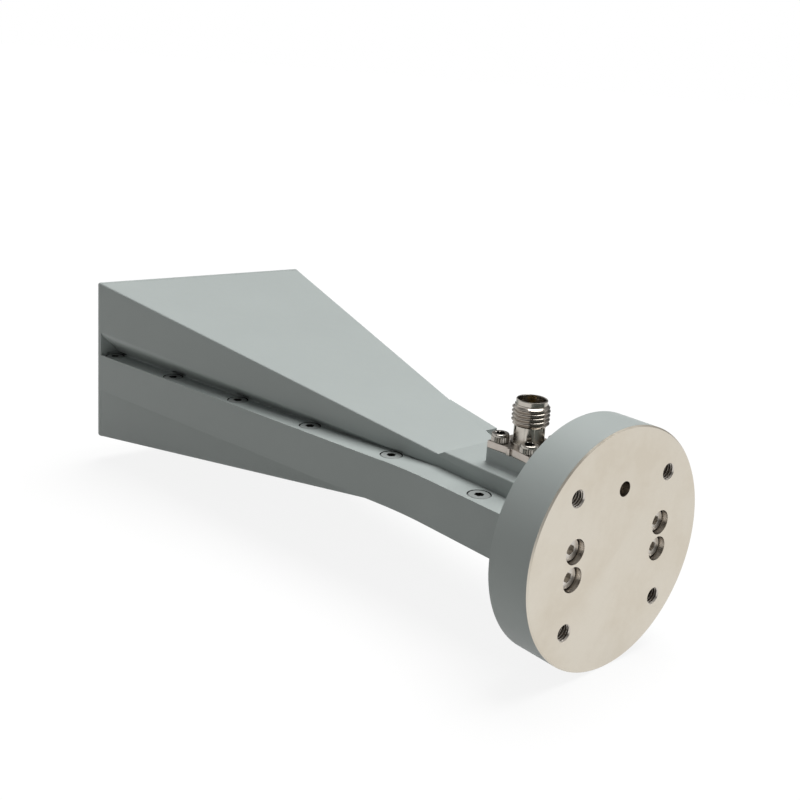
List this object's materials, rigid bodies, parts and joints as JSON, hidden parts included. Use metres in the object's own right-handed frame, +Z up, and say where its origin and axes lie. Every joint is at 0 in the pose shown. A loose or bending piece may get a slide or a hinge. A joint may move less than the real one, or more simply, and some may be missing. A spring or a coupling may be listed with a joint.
{
  "type": "horn antenna",
  "caption": "Rectangular pyramidal horn antenna in two painted shells, with a round machined mounting disc at the back and a coaxial connector on top.",
  "frame": {"origin": "centre of the mounting disc's outer face, on the boresight", "axes": "+X along the boresight from the disc to the mouth, +Z up towards the connector, +Y to the left when looking along the boresight"},
  "size_m": [0.1272, 0.051, 0.04],
  "materials": {
    "machined_aluminium": "machined satin, rim painted",
    "painted_shell": "satin grey paint over machined aluminium",
    "painted_screws": "satin grey paint",
    "screw_steel": "satin",
    "pin_steel": "ground",
    "connector_steel": "turned satin",
    "connector_screw_steel": "knurled satin",
    "bead_plastic": "matte",
    "dielectric": "matte",
    "gold_plate": "bright plated"
  },
  "bodies": {
    "root": {"mounting_disc": "machined_aluminium", "upper_shell": "painted_shell", "lower_shell": "painted_shell", "ledge_screws": "painted_screws", "disc_screws": "screw_steel", "alignment_pins": "pin_steel", "connector_body": "connector_steel", "connector_screws": "connector_screw_steel", "support_bead": "bead_plastic", "dielectric_sleeve": "dielectric", "centre_contact": "gold_plate", "launch_probe": "gold_plate"}
  },
  "joints": []
}
